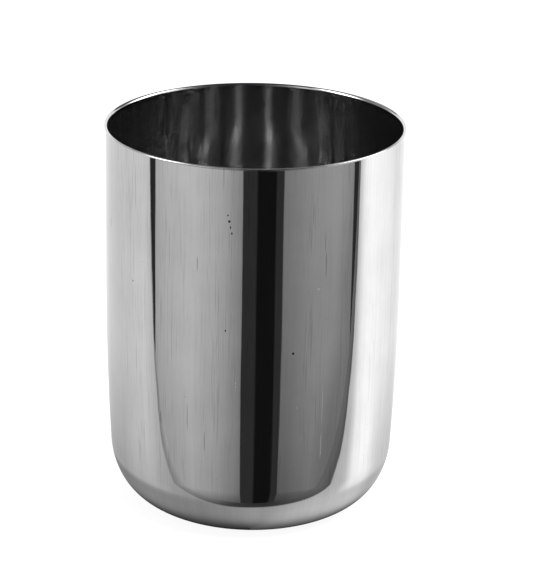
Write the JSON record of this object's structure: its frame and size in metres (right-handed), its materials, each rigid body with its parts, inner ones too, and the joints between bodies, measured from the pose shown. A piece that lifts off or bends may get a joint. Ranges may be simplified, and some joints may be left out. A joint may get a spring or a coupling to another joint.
{
  "type": "shaving mug",
  "caption": "Straight-sided metal shaving mug without a handle: one drawn cup with a thin rounded lip, rounded lower corner and set-in base.",
  "frame": {"origin": "centre of the ring that the mug stands on, in the plane of that ring", "axes": "+Z is the mug's axis, from the base up to the mouth; +X and +Y are alike, since the mug is round"},
  "size_m": [0.0754, 0.0754, 0.1003],
  "materials": {
    "polished_steel": "polished"
  },
  "bodies": {
    "root": {"mug_body": "polished_steel"}
  },
  "joints": []
}
